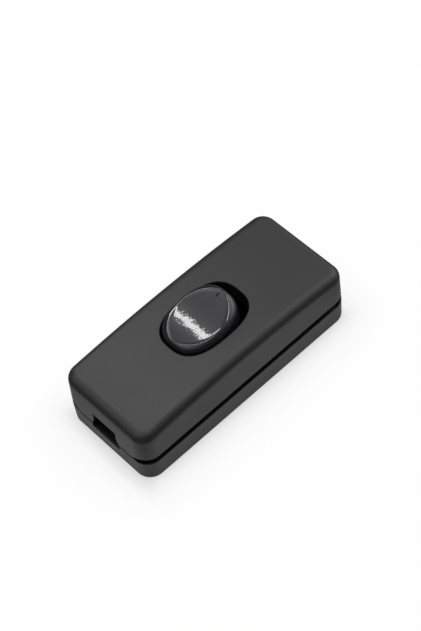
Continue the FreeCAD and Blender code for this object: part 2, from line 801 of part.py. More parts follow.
def wire_plate():
    """Square pressure plate under a terminal screw's head, with turned-down ends that keep the wire in."""
    half = wire_plate_size / 2
    plate = box(-half, half, -half, half, 0, wire_plate_thickness)
    upright = [e for e in plate.Edges if e.BoundBox.ZLength > wire_plate_thickness / 2]
    plate = plate.makeFillet(wire_plate_corner, upright)
    relief_half = wire_plate_relief_width / 2
    relief = box(-half - tool_run, half + tool_run, -relief_half, relief_half, -tool_run,
                 wire_plate_relief_depth)
    hole = rod(terminal_screw_radius + screw_clearance, Vector(0, 0, -tool_run),
               wire_plate_thickness + 2 * tool_run)
    return plate.cut(relief).cut(hole)


def cord_clamp():
    """Arched bar that holds the cord down on its bed, with a ridge under the arch."""
    end = clamp_half_span
    foot = slot_mouth_width / 2 + clamp_foot_gap
    crest = slot_width / 2 - clamp_crest_inset
    outer_foot = foot + clamp_crest_inset
    outer_crest = crest + clamp_crest_inset
    low = clamp_seat
    high = clamp_seat + clamp_rise
    t = clamp_thickness
    outline = [(-end, low), (-foot, low), (-crest, high), (crest, high), (foot, low), (end, low),
               (end, low + t), (outer_foot, low + t), (outer_crest, high + t), (-outer_crest, high + t),
               (-outer_foot, low + t), (-end, low + t)]
    bar = section_prism(outline, -clamp_width / 2, clamp_width / 2)
    half_ridge = clamp_ridge_width / 2
    ridge = [Vector(-half_ridge, -crest, high), Vector(half_ridge, -crest, high),
             Vector(0, -crest, high - clamp_ridge)]
    bar = fused([bar, prism(ridge, Vector(0, 2 * crest, 0))])
    for side in (-1, 1):
        place = Vector(0, side * clamp_screw_y, 0)
        bar = bar.cut(rod(clamp_screw_radius + hole_clearance, place, top_height))
    return bar


def moved(shape, x, y, z):
    """Copy of a shape at another place."""
    copy = shape.copy()
    copy.translate(Vector(x, y, z))
    return copy


def turned(shape, centre, degrees):
    """Copy of a shape turned about a line along Y through a centre."""
    copy = shape.copy()
    copy.rotate(centre, Y_AXIS, degrees)
    return copy


def in_rocker(shape):
    """Puts a shape drawn about the rocker's pivot into the housing, tilted with its left end down."""
    return turned(moved(shape, 0, 0, pivot_height), pivot, -rocker_tilt)


def all_parts():
    """Every piece by name, at rest: rocker pressed at its left end, contacts open."""
    parts = {
        "base_shell": base_shell(),
        "cover_shell": cover_shell(),
        "rocker_button": in_rocker(rocker_button()),
        "spring_plunger": in_rocker(spring_plunger()),
        "contact_spring": in_rocker(contact_spring()),
        "contact_lever": turned(contact_lever(), lever_pivot, lever_angle),
        "moving_contact": turned(moving_contact(), lever_pivot, lever_angle),
        "fixed_contact": fixed_contact(),
        "live_in_terminal": live_in_terminal(),
        "live_out_terminal": live_out_terminal(),
        "neutral_link": neutral_link(),
    }
    terminal_screw = cross_head_screw(terminal_screw_radius, terminal_head_radius, terminal_head_height,
                                      terminal_screw_length)
    for name, x, y in terminal_places():
        parts[name + "_wire_plate"] = moved(wire_plate(), x, y, plate_top)
        parts[name + "_screw"] = moved(terminal_screw, x, y, plate_top + wire_plate_thickness)
    clamp = cord_clamp()
    clamp_screw = cross_head_screw(clamp_screw_radius, clamp_head_radius, clamp_head_height,
                                   clamp_screw_length)
    housing_screw = cross_head_screw(housing_screw_radius, housing_head_radius, housing_head_height,
                                     housing_screw_length)
    housing_screw = housing_screw.mirror(Vector(0, 0, 0), Z_AXIS)
    for side, sign in (("left", -1), ("right", 1)):
        parts["cord_clamp_" + side] = moved(clamp, sign * clamp_x, 0, 0)
        for edge, y_sign in (("front", -1), ("back", 1)):
            name = "clamp_screw_" + side + "_" + edge
            parts[name] = moved(clamp_screw, sign * clamp_x, y_sign * clamp_screw_y,
                                clamp_seat + clamp_thickness)
        parts["housing_screw_" + side] = moved(housing_screw, sign * housing_screw_x, 0, head_recess)
    return parts


def main():
    """Writes one STEP file for each piece."""
    os.makedirs("parts", exist_ok=True)
    for name, shape in all_parts().items():
        solids = shape.Solids
        print(name, "solids", len(solids), "valid", shape.isValid(), "volume", round(shape.Volume, 2))
        solid = solids[0] if len(solids) == 1 else Part.makeCompound(solids)
        solid.exportStep("parts/" + name + ".step")


main()
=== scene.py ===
import json
import math

import bmesh
import bpy
import numpy as np
from mathutils import Matrix, Vector


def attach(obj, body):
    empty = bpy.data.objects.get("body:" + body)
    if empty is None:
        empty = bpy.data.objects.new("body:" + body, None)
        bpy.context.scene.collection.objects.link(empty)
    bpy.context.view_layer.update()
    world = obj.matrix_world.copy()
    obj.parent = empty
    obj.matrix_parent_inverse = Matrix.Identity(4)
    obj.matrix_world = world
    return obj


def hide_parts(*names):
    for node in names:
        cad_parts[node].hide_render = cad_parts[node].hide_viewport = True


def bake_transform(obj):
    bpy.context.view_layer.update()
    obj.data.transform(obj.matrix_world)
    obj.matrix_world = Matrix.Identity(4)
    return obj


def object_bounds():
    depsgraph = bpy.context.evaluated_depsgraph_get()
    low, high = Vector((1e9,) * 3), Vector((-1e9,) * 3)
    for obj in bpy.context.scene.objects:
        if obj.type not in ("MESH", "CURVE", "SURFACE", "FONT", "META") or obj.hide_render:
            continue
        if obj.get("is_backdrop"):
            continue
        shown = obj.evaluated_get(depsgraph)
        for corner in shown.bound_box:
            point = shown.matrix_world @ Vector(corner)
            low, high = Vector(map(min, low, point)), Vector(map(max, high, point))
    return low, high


bl_info = {
    "name": "Inline cord switch",
    "version": (1, 0, 0),
    "blender": (4, 5, 0),
    "location": "3D View > Sidebar > Cord switch",
    "description": "Finishes an inline cord switch: shells, rocker, mechanism and stage",
    "category": "Object",
}

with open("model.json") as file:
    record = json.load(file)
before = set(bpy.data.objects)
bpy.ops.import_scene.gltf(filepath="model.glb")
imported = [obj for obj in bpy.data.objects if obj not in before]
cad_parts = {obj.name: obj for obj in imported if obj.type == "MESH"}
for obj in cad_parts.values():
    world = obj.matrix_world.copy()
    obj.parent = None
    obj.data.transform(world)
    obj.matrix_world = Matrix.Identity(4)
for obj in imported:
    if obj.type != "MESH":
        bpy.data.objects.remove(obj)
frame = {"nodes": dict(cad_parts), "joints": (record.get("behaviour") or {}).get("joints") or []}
CAD_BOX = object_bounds()
MM = 0.001

# The picture's longer side in pixels, and Blender's default sensor width in millimetres
PICTURE_HEIGHT = 631
SENSOR_WIDTH = 36.0

# Nodes of the frame by the finish that they share
SHELLS = ("cover_shell", "base_shell")
BRASS_PARTS = ("live_in_terminal", "live_out_terminal", "neutral_link", "contact_lever")
SILVER_PARTS = ("moving_contact", "fixed_contact")
CLAMPS = ("cord_clamp_left", "cord_clamp_right")
WIRE_PLATES = ("live_in_wire_plate", "live_out_wire_plate", "neutral_left_wire_plate",
               "neutral_right_wire_plate")
SCREWS = tuple(name for name in frame["nodes"] if "screw" in name)

# Points nearer to each other than this are one point
MERGE_DISTANCE = 1e-7

# How far parts of one moulding reach into each other
OVERLAP = 0.1 * MM

# Rows of the rocker's skin, from the middle of its dish round the foot to the middle of its ceiling
SKIN_ROWS = {"dish": 30, "curl": 24, "rim": 9, "wall": 40, "foot": 9, "inside": 6, "ceiling": 8}

# Tries in which the rim's height settles
RIM_TRIES = 12

# Rounding of the rocker's foot
FOOT_ROUNDING = 0.2 * MM

# Share of the dish's radius in which the "dish" attribute falls to 0, and the values of it between which
# the haze and the scuffs set in
DISH_FALL = 0.2
HAZE_START, HAZE_FULL = 0.0, 0.3
SCUFF_START, SCUFF_FULL = 0.4, 0.9

# How deep the on mark reaches into the dish, how far it stands out, and its bevel
MARK_SUNK = 0.05 * MM
MARK_PROUD = 0.012 * MM
MARK_BEVEL = 0.01 * MM

# What a grain group puts out
GRAIN_OUTPUTS = {"Roughness": "NodeSocketFloat", "Normal": "NodeSocketVector", "Shade": "NodeSocketFloat"}

# Refractive index of the finishes, and how strongly the shade swings with the noise
IOR = 1.55
MOULDED_SHADE = 0.35
DRAWN_SHADE = 0.5

# Table: half its length, how far it lies under the base, and the colour of its lit part
TABLE_HALF = 3.0
TABLE_DROP = 0.02 * MM
TABLE_COLOUR = (0.85, 0.85, 0.85, 1)
WHITE = (1, 1, 1, 1)

# Half width of the soft horizon, as the sine of the height angle
HORIZON = 0.02

# Height over the pivot that the strip light aims at, and the camera's near limit
STRIP_AIM = 9 * MM
NEAR_LIMIT = 10 * MM


def joint(name):
    """The record's row for one joint."""
    return next(row for row in frame["joints"] if row["name"] == name)


PIVOT = Vector(joint("rocker_tilt")["pos_m"])
TILT = math.radians(joint("rocker_tilt")["range_deg"][1]) / 2


# Sizes and colours that a user would change

class HousingSettings(bpy.types.PropertyGroup):
    """Finish of the two shells."""
    colour: bpy.props.FloatVectorProperty(
        name="Colour", description="Colour of the shells' plastic", subtype="COLOR", size=3,
        default=(0.009, 0.009, 0.009))
    roughness: bpy.props.FloatProperty(
        name="Roughness", description="Satin of the eroded mould surface", default=0.47, min=0, max=1)
    grain_size: bpy.props.FloatProperty(
        name="Grain size", description="Size of one grain of the mould texture", default=0.22 * MM,
        unit="LENGTH")
    grain_depth: bpy.props.FloatProperty(
        name="Grain depth", description="Depth of the mould texture", default=0.012 * MM, unit="LENGTH")


class RockerSettings(bpy.types.PropertyGroup):
    """Shape and finish of the rocker."""
    colour: bpy.props.FloatVectorProperty(
        name="Colour", description="Colour of the rocker's plastic", subtype="COLOR", size=3,
        default=(0.0125, 0.0125, 0.0165))
    roughness: bpy.props.FloatProperty(
        name="Roughness", description="Gloss of the polished plastic", default=0.07, min=0, max=1)
    scuff_size: bpy.props.FloatProperty(
        name="Scuff size", description="Width of one wave in the polish", default=0.42 * MM,
        unit="LENGTH")
    scuff_depth: bpy.props.FloatProperty(
        name="Scuff depth", description="Depth of the long faint waves in the polish",
        default=0.018 * MM, unit="LENGTH")
    haze: bpy.props.FloatProperty(
        name="Haze", description="Strength of the dull sheen round a mirrored light", default=0.5,
        min=0, max=1)
    haze_roughness: bpy.props.FloatProperty(
        name="Haze width", description="Roughness of the dull sheen", default=0.32, min=0, max=1)
    rim_height: bpy.props.FloatProperty(
        name="Rim height",
        description="Height of the rim's middle over the table, with the rocker level",
        default=19.65 * MM, unit="LENGTH")
    skirt_length: bpy.props.FloatProperty(
        name="Skirt length", description="Length over the skirt", default=17.7 * MM, unit="LENGTH")
    skirt_width: bpy.props.FloatProperty(
        name="Skirt width", description="Width over the skirt", default=13.5 * MM, unit="LENGTH")
    skirt_depth: bpy.props.FloatProperty(
        name="Skirt depth", description="From the rim's middle to the skirt's foot", default=4.7 * MM,
        unit="LENGTH")
    skirt_straight: bpy.props.FloatProperty(
        name="Straight skirt", description="Height of the skirt's upright part", default=1.6 * MM,
        unit="LENGTH")
    end_lean: bpy.props.FloatProperty(
        name="End lean", description="How far the ends lean in up to the rim's middle height",
        default=0.45 * MM, unit="LENGTH")
    side_lean: bpy.props.FloatProperty(
        name="Side lean", description="How far the sides lean in up to the rim", default=0.9 * MM,
        unit="LENGTH")
    end_swell: bpy.props.FloatProperty(
        name="End swell", description="Power of the ends' curve", default=3.4)
    side_swell: bpy.props.FloatProperty(
        name="Side swell", description="Power of the sides' curve", default=7.0)
    outline_power: bpy.props.FloatProperty(
        name="Outline power", description="2 is an ellipse, more is squarer", default=2.47)
    dish_radius: bpy.props.FloatProperty(
        name="Dish radius", description="Radius of the hollow top along the rocker", default=41 * MM,
        unit="LENGTH")
    dish_depth: bpy.props.FloatProperty(
        name="Dish depth", description="How far the dish lies below its rim", default=0.17 * MM,
        unit="LENGTH")
    dish_curl: bpy.props.FloatProperty(
        name="Dish curl", description="Width of the curl that lifts the dish to its rim",
        default=0.7 * MM, unit="LENGTH")
    rim_rounding: bpy.props.FloatProperty(
        name="Rim rounding", description="How far the rim's rounding reaches each way",
        default=0.14 * MM, unit="LENGTH")
    wall: bpy.props.FloatProperty(
        name="Wall", description="Thickness of the rocker's wall", default=1.4 * MM, unit="LENGTH")
    cheek_radius: bpy.props.FloatProperty(
        name="Cheek radius", description="Round foot of the cheek that carries the trunnion",
        default=2.6 * MM, unit="LENGTH")
    trunnion_radius: bpy.props.FloatProperty(
        name="Trunnion radius", description="Radius of the pins that the rocker tips on",
        default=1.4 * MM, unit="LENGTH")
    trunnion_reach: bpy.props.FloatProperty(
        name="Trunnion reach", description="From the rocker's middle to a pin's end", default=9.45 * MM,
        unit="LENGTH")
    shoulder_radius: bpy.props.FloatProperty(
        name="Shoulder radius", description="Radius of the boss at a pin's root", default=2.1 * MM,
        unit="LENGTH")
    shoulder_reach: bpy.props.FloatProperty(
        name="Shoulder reach", description="From the rocker's middle to a boss's face",
        default=7.05 * MM, unit="LENGTH")
    tube_radius: bpy.props.FloatProperty(
        name="Tube radius", description="Outside of the spring's tube", default=2.6 * MM, unit="LENGTH")
    tube_bore: bpy.props.FloatProperty(
        name="Tube bore", description="Radius inside the spring's tube", default=1.65 * MM,
        unit="LENGTH")
    tube_foot: bpy.props.FloatProperty(
        name="Tube foot", description="Foot of the tube, from the pivot", default=-0.9 * MM,
        unit="LENGTH")
    tube_top: bpy.props.FloatProperty(
        name="Tube top", description="Blind end of the tube, from the pivot", default=7.6 * MM,
        unit="LENGTH")
    rib_width: bpy.props.FloatProperty(
        name="Rib width", description="Thickness of the cross rib", default=1.2 * MM, unit="LENGTH")
    mark_place: bpy.props.FloatVectorProperty(
        name="Mark place", description="From the rocker's middle to the on mark's, along and across",
        size=2, default=(6.6 * MM, 0.46 * MM), unit="LENGTH")
    mark_length: bpy.props.FloatProperty(
        name="Mark length", description="Length of the on mark", default=1.2 * MM, unit="LENGTH")
    mark_width: bpy.props.FloatProperty(
        name="Mark width", description="Width of the on mark", default=0.34 * MM, unit="LENGTH")
    mark_colour: bpy.props.FloatVectorProperty(
        name="Mark colour", description="Colour of the on mark's ink", subtype="COLOR", size=3,
        default=(0.004, 0.004, 0.004))


class MechanismSettings(bpy.types.PropertyGroup):
    """Spring, and colours of the parts inside."""
    spring_radius: bpy.props.FloatProperty(
        name="Spring radius", description="Radius of the spring's coils at the wire's middle",
        default=1.3 * MM, unit="LENGTH")
    spring_wire: bpy.props.FloatProperty(
        name="Spring wire", description="Diameter of the spring's wire", default=0.36 * MM,
        unit="LENGTH")
    spring_turns: bpy.props.FloatProperty(
        name="Spring turns", description="Number of the spring's coils", default=6)
    spring_foot: bpy.props.FloatProperty(
        name="Spring foot", description="Height of the spring's foot over the pivot, on the plunger",
        default=1.55 * MM, unit="LENGTH")
    spring_top: bpy.props.FloatProperty(
        name="Spring top", description="Height of the spring's top over the pivot, in the tube",
        default=7.4 * MM, unit="LENGTH")
    wire_colour: bpy.props.FloatVectorProperty(
        name="Spring colour", description="Colour of the spring's wire", subtype="COLOR", size=3,
        default=(0.5, 0.5, 0.5))
    brass_colour: bpy.props.FloatVectorProperty(
        name="Brass", description="Colour of the terminals, the link and the lever", subtype="COLOR",
        size=3, default=(0.62, 0.43, 0.17))
    silver_colour: bpy.props.FloatVectorProperty(
        name="Silver", description="Colour of the two contacts", subtype="COLOR", size=3,
        default=(0.78, 0.77, 0.74))
    steel_colour: bpy.props.FloatVectorProperty(
        name="Steel", description="Colour of the screws and wire plates", subtype="COLOR", size=3,
        default=(0.55, 0.55, 0.56))
    plunger_colour: bpy.props.FloatVectorProperty(
        name="Plunger colour", description="Colour of the plunger's nylon", subtype="COLOR", size=3,
        default=(0.70, 0.68, 0.62))
    clamp_colour: bpy.props.FloatVectorProperty(
        name="Clamp colour", description="Colour of the cord clamps' plastic", subtype="COLOR", size=3,
        default=(0.02, 0.02, 0.021))


class StageSettings(bpy.types.PropertyGroup):
    """Camera, floor and light."""
    azimuth: bpy.props.FloatProperty(
        name="Azimuth", description="Camera's turn about the vertical", default=math.radians(-37.039),
        subtype="ANGLE")
    elevation: bpy.props.FloatProperty(
        name="Elevation", description="Camera's height angle", default=math.radians(55.192),
        subtype="ANGLE")
    roll: bpy.props.FloatProperty(
        name="Roll", description="Camera's turn about its own line of sight",
        default=math.radians(-8.078), subtype="ANGLE")
    distance: bpy.props.FloatProperty(
        name="Distance", description="Camera to the object's origin, along the line of sight",
        default=393.9 * MM, unit="LENGTH")
    aside: bpy.props.FloatProperty(
        name="Aside", description="Origin's place to the right of the picture's middle",
        default=0.062 * MM, unit="LENGTH")
    above: bpy.props.FloatProperty(
        name="Above", description="Origin's place above the picture's middle", default=-10.458 * MM,
        unit="LENGTH")
    focal_pixels: bpy.props.FloatProperty(
        name="Focal length", description="Focal length in pixels of the picture", default=1742.7)
    top_glow: bpy.props.FloatProperty(
        name="Top glow", description="Brightness of the soft light overhead", default=0.87)
    top_side: bpy.props.FloatVectorProperty(
        name="Top direction", description="Where the soft light overhead comes from", size=3,
        subtype="DIRECTION", default=(-0.423, 0.0, 0.906))
    back_glow: bpy.props.FloatProperty(
        name="Back glow", description="Brightness of the soft light behind the near end", default=1.02)
    back_side: bpy.props.FloatVectorProperty(
        name="Back direction", description="Where the soft light behind comes from", size=3,
        subtype="DIRECTION", default=(-0.612, 0.354, 0.707))
    far_glow: bpy.props.FloatProperty(
        name="Far glow", description="Brightness of the soft light at the far end", default=2.03)
    far_side: bpy.props.FloatVectorProperty(
        name="Far direction", description="Where the soft light at the far end comes from", size=3,
        subtype="DIRECTION", default=(0.866, 0.0, 0.5))
    front_glow: bpy.props.FloatProperty(
        name="Front glow", description="Brightness of the soft light in front", default=1.02)
    front_side: bpy.props.FloatVectorProperty(
        name="Front direction", description="Where the soft light in front comes from", size=3,
        subtype="DIRECTION", default=(0.612, -0.354, 0.707))
    below_glow: bpy.props.FloatProperty(
        name="Glow from below", description="Brightness of the room under the table", default=0.7)
    glow_spread: bpy.props.FloatProperty(
        name="Glow spread", description="How fast each soft light fades; less is wider", default=8.0)
    strip_radiance: bpy.props.FloatProperty(
        name="Strip brightness", description="Brightness of the strip light that the dish mirrors",
        default=11.5)
    strip_side: bpy.props.FloatVectorProperty(
        name="Strip direction", description="Where the strip light hangs, seen from the rocker", size=3,
        subtype="DIRECTION", default=(0.14, 0.46, 0.877))
    strip_distance: bpy.props.FloatProperty(
        name="Strip distance", description="From the rocker to the strip light", default=700 * MM,
        unit="LENGTH")
    strip_width: bpy.props.FloatProperty(
        name="Strip width", description="Width of the strip light", default=42 * MM, unit="LENGTH")
    strip_length: bpy.props.FloatProperty(
        name="Strip length", description="Length of the strip light", default=1170 * MM, unit="LENGTH")
    table_white: bpy.props.FloatProperty(
        name="Table white",
        description="Share of plain white in the table; the rest is lit and keeps the shadow",
        default=0.96, min=0, max=1)
    # Painted shade: near the base the table's white gives way, painting shade there as well as its real
    # shadow, and the table in mirrors is dimmed there
    contact_share: bpy.props.FloatProperty(
        name="Contact shadow",
        description="How much of the plain white gives way to the shadow at the base", default=0.4,
        min=0, max=1)
    contact_reach: bpy.props.FloatProperty(
        name="Contact reach", description="How far from the base the shadow shows fully",
        default=3.3 * MM, unit="LENGTH")
    mirror_white: bpy.props.FloatProperty(
        name="Table in mirrors", description="How white the near table shows in glossy surfaces",
        default=0.76, min=0, max=1)
    mirror_rest: bpy.props.FloatProperty(
        name="Far table in mirrors", description="How much of that is left on the far table",
        default=0.25, min=0, max=1)
    mirror_near: bpy.props.FloatProperty(
        name="Mirrored table",
        description="From the middle to where the table in mirrors starts to fade", default=35 * MM,
        unit="LENGTH")
    mirror_far: bpy.props.FloatProperty(
        name="Mirrored table end",
        description="From the middle to where the table in mirrors has faded", default=50 * MM,
        unit="LENGTH")


# Shader building

def new_group(name, inputs, outputs):
    """Empty shader node group: number inputs by name and default, outputs by name and kind."""
    group = bpy.data.node_groups.new(name, "ShaderNodeTree")
    for label, default in inputs.items():
        socket = group.interface.new_socket(label, in_out="INPUT", socket_type="NodeSocketFloat")
        socket.default_value = default
    for label, kind in outputs.items():
        group.interface.new_socket(label, in_out="OUTPUT", socket_type=kind)
    return group, group.nodes.new("NodeGroupInput"), group.nodes.new("NodeGroupOutput")


def add_node(tree, kind, **settings):
    """New node with its properties set."""
    node = tree.nodes.new(kind)
    for key, value in settings.items():
        setattr(node, key, value)
    return node


def maths(tree, operation, first, second):
    """Math node on two sockets or numbers; returns its output."""
    node = add_node(tree, "ShaderNodeMath", operation=operation)
    for socket, value in zip(node.inputs, (first, second)):
        if isinstance(value, (int, float)):
            socket.default_value = value
        else:
            tree.links.new(value, socket)
    return node.outputs[0]


def vector_maths(tree, operation, first, second=(0, 0, 0)):
    """Vector Math node on a socket and a vector; returns the node."""
    node = add_node(tree, "ShaderNodeVectorMath", operation=operation)
    tree.links.new(first, node.inputs[0])
    node.inputs[1].default_value = second
    return node


def noise_at(group, place, size):
    """Noise node that reads a place divided by a size."""
    scaled = add_node(group, "ShaderNodeVectorMath", operation="SCALE")
    group.links.new(place, scaled.inputs[0])
    group.links.new(maths(group, "DIVIDE", 1.0, size), scaled.inputs["Scale"])
    noise = add_node(group, "ShaderNodeTexNoise")
    noise.inputs["Scale"].default_value = 1.0
    group.links.new(scaled.outputs[0], noise.inputs["Vector"])
    return noise


def put_out(group, source, sink, height, change, swing):
    """Feeds a grain group's outputs.

    Normal comes from the height times Depth, Roughness is the input Roughness + Spread * (change - 0.5),
    and Shade is 1 + swing * (change - 0.5).
    """
    bump = add_node(group, "ShaderNodeBump")
    group.links.new(height, bump.inputs["Height"])
    group.links.new(source.outputs["Depth"], bump.inputs["Distance"])
    group.links.new(bump.outputs["Normal"], sink.inputs["Normal"])
    centred = maths(group, "SUBTRACT", change, 0.5)
    spread = maths(group, "MULTIPLY", centred, source.outputs["Spread"])
    group.links.new(maths(group, "ADD", spread, source.outputs["Roughness"]), sink.inputs["Roughness"])
    shade = maths(group, "ADD", maths(group, "MULTIPLY", centred, swing), 1.0)
    group.links.new(shade, sink.inputs["Shade"])


def moulded_grain():
    """Texture of a spark-eroded mould.

    Fine noise lifts the surface by Depth, coarse clouds vary the roughness by Spread, and Shade is a value
    near 1 that varies with the same clouds.
    """
    group, source, sink = new_group("Moulded grain", {
        "Size": 0.2 * MM, "Depth": 0.01 * MM, "Roughness": 0.5, "Spread": 0.05, "Cloud size": 6 * MM},
        GRAIN_OUTPUTS)
    place = add_node(group, "ShaderNodeTexCoord").outputs["Object"]
    fine = noise_at(group, place, source.outputs["Size"])
    fine.inputs["Detail"].default_value = 3.0
    fine.inputs["Roughness"].default_value = 0.6
    clouds = noise_at(group, place, source.outputs["Cloud size"])
    clouds.inputs["Detail"].default_value = 4.0
    put_out(group, source, sink, fine.outputs["Fac"], clouds.outputs["Fac"], MOULDED_SHADE)
    return group


def drawn_grain():
    """Drawn, stamped or polished surface: noise stretched along X varies the roughness, height and shade.

    The place is divided by Size, and its X by Stretch too, before it reaches the noise. The height is
    Depth * (noise + Wander * wide noise), whose places are divided by Wander size.
    """
    group, source, sink = new_group("Drawn grain", {
        "Size": 0.3 * MM, "Stretch": 12.0, "Roughness": 0.3, "Spread": 0.2, "Depth": 0.01 * MM,
        "Detail": 4.0, "Wander": 0.0, "Wander size": 2 * MM},
        GRAIN_OUTPUTS)
    place = add_node(group, "ShaderNodeTexCoord").outputs["Object"]
    parts = add_node(group, "ShaderNodeSeparateXYZ")
    group.links.new(place, parts.inputs[0])
    drawn = add_node(group, "ShaderNodeCombineXYZ")
    shortened = maths(group, "DIVIDE", parts.outputs["X"], source.outputs["Stretch"])
    for socket, value in zip(drawn.inputs, (shortened, parts.outputs["Y"], parts.outputs["Z"])):
        group.links.new(value, socket)
    noise = noise_at(group, drawn.outputs[0], source.outputs["Size"])
    group.links.new(source.outputs["Detail"], noise.inputs["Detail"])
    wide = noise_at(group, place, source.outputs["Wander size"])
    wide.inputs["Detail"].default_value = 1.0
    waves = maths(group, "MULTIPLY", wide.outputs["Fac"], source.outputs["Wander"])
    height = maths(group, "ADD", noise.outputs["Fac"], waves)
    put_out(group, source, sink, height, noise.outputs["Fac"], DRAWN_SHADE)
    return group


def shared_group(maker):
    """The group that a maker builds, built once."""
    name = maker.__name__.replace("_", " ").capitalize()
    return bpy.data.node_groups.get(name) or maker()


def new_material(name, maker, colour, values, metallic=0.0):
    """Principled material fed by a shared group, its colour tinted by the group's Shade."""
    material = bpy.data.materials.new(name)
    material.use_nodes = True
    tree = material.node_tree
    shader = tree.nodes["Principled BSDF"]
    shader.inputs["Metallic"].default_value = metallic
    shader.inputs["IOR"].default_value = IOR
    grain = add_node(tree, "ShaderNodeGroup", node_tree=shared_group(maker))
    grain.name = grain.node_tree.name
    for label, value in values.items():
        grain.inputs[label].default_value = value
    tint = add_node(tree, "ShaderNodeVectorMath", operation="SCALE")
    tint.inputs[0].default_value = colour
    tree.links.new(grain.outputs["Shade"], tint.inputs["Scale"])
    tree.links.new(tint.outputs[0], shader.inputs["Base Color"])
    tree.links.new(grain.outputs["Roughness"], shader.inputs["Roughness"])
    tree.links.new(grain.outputs["Normal"], shader.inputs["Normal"])
    return material


def finish(nodes, name, maker, colour, values, metallic=0.0):
    """Gives CAD nodes a new material, and returns it."""
    material = new_material(name, maker, colour, values, metallic)
    for node in nodes:
        mesh = frame["nodes"][node].data
        mesh.materials.clear()
        mesh.materials.append(material)
    return material


def add_object(name, data):
    """New object in the scene, at the origin."""
    piece = bpy.data.objects.new(name, data)
    bpy.context.scene.collection.objects.link(piece)
    return piece


# Mesh building

def grid_faces(rows, columns):
    """Quads of a grid whose columns close on themselves, as an array of corner numbers."""
    row, column = np.meshgrid(np.arange(rows - 1), np.arange(columns), indexing="ij")
    after = (column + 1) % columns
    corners = [row * columns + column, row * columns + after, (row + 1) * columns + after,
               (row + 1) * columns + column]
    return np.stack(corners, -1).reshape(-1, 4)


def closed_piece(name, grids, material, crease=math.radians(40)):
    """Object from grids (rows, columns, 3) that close round their columns and end in poles, faces outwards.

    A grid whose enclosed volume comes out negative has its quads turned round. Edges sharper than the
    crease stay sharp in shading.
    """
    points = []
    faces = []
    count = 0
    for grid in grids:
        rows, columns, _ = grid.shape
        corner = grid.reshape(-1, 3)
        quads = grid_faces(rows, columns)
        a, b, c, d = (corner[quads[:, k]] for k in range(4))
        volume = np.einsum("ij,ij->", a, np.cross(b, c)) + np.einsum("ij,ij->", a, np.cross(c, d))
        faces.append(count + (quads if volume > 0 else quads[:, ::-1]))
        points.append(corner)
        count += len(corner)
    mesh = bpy.data.meshes.new(name)
    mesh.from_pydata(np.concatenate(points).tolist(), [], np.concatenate(faces).tolist())
    work = bmesh.new()
    work.from_mesh(mesh)
    bmesh.ops.remove_doubles(work, verts=work.verts, dist=MERGE_DISTANCE)
    bmesh.ops.dissolve_degenerate(work, dist=MERGE_DISTANCE, edges=work.edges)
    work.to_mesh(mesh)
    work.free()
    mesh.polygons.foreach_set("use_smooth", np.ones(len(mesh.polygons), bool))
    mesh.set_sharp_from_angle(angle=crease)
    mesh.materials.append(material)
    return add_object(name, mesh)


def outline_turns(count):
    """Angles round an outline, evenly spaced."""
    return np.linspace(0, 2 * math.pi, count, endpoint=False)


def superellipse(turns, power):
    """Unit outline |x|^n + |y|^n = 1, as x and y by angle."""
    c = np.cos(turns)
    s = np.sin(turns)
    return np.sign(c) * np.abs(c) ** (2 / power), np.sign(s) * np.abs(s) ** (2 / power)


def slab_grid(outline, start, end, axis, bevel=0.1 * MM):
    """Slab on an outline round its middle, from start to end along X, Y or Z, with bevelled edges.

    Its rows are the middle of the first face, the outline drawn in by the bevel, the full outline at both
    bevels' inner ends, the drawn-in outline again and the middle of the last face.
    """
    middle = (outline.min(0) + outline.max(0)) / 2
    half = (outline.max(0) - outline.min(0)) / 2
    inner = middle + (outline - middle) * (1 - bevel / half)
    pole = np.broadcast_to(middle, outline.shape)
    layers = [(pole, start), (inner, start), (outline, start + bevel), (outline, end - bevel), (inner, end),
              (pole, end)]
    grid = np.zeros((len(layers), len(outline), 3))
    flat = [k for k in range(3) if k != axis]
    for row, (shape, along) in enumerate(layers):
        grid[row][:, flat] = shape
        grid[row, :, axis] = along
    return grid


def circle(radius, columns=64):
    """Round outline about the middle."""
    turns = outline_turns(columns)
    return radius * np.stack([np.cos(turns), np.sin(turns)], -1)


def tube_grid(radius, bore, foot, top, end, columns=64, bevel=0.1 * MM):
    """Upright tube, open at its foot and blind at its top: a profile of (radius, height) turned about Z."""
    profile = np.array([(0, top), (bore, top), (bore, foot + bevel), (bore + bevel, foot),
                        (radius - bevel, foot), (radius, foot + bevel), (radius, end), (0, end)])
    turns = outline_turns(columns)
    x = profile[:, 0, None] * np.cos(turns)
    y = profile[:, 0, None] * np.sin(turns)
    return np.stack([x, y, np.broadcast_to(profile[:, 1, None], x.shape)], -1)


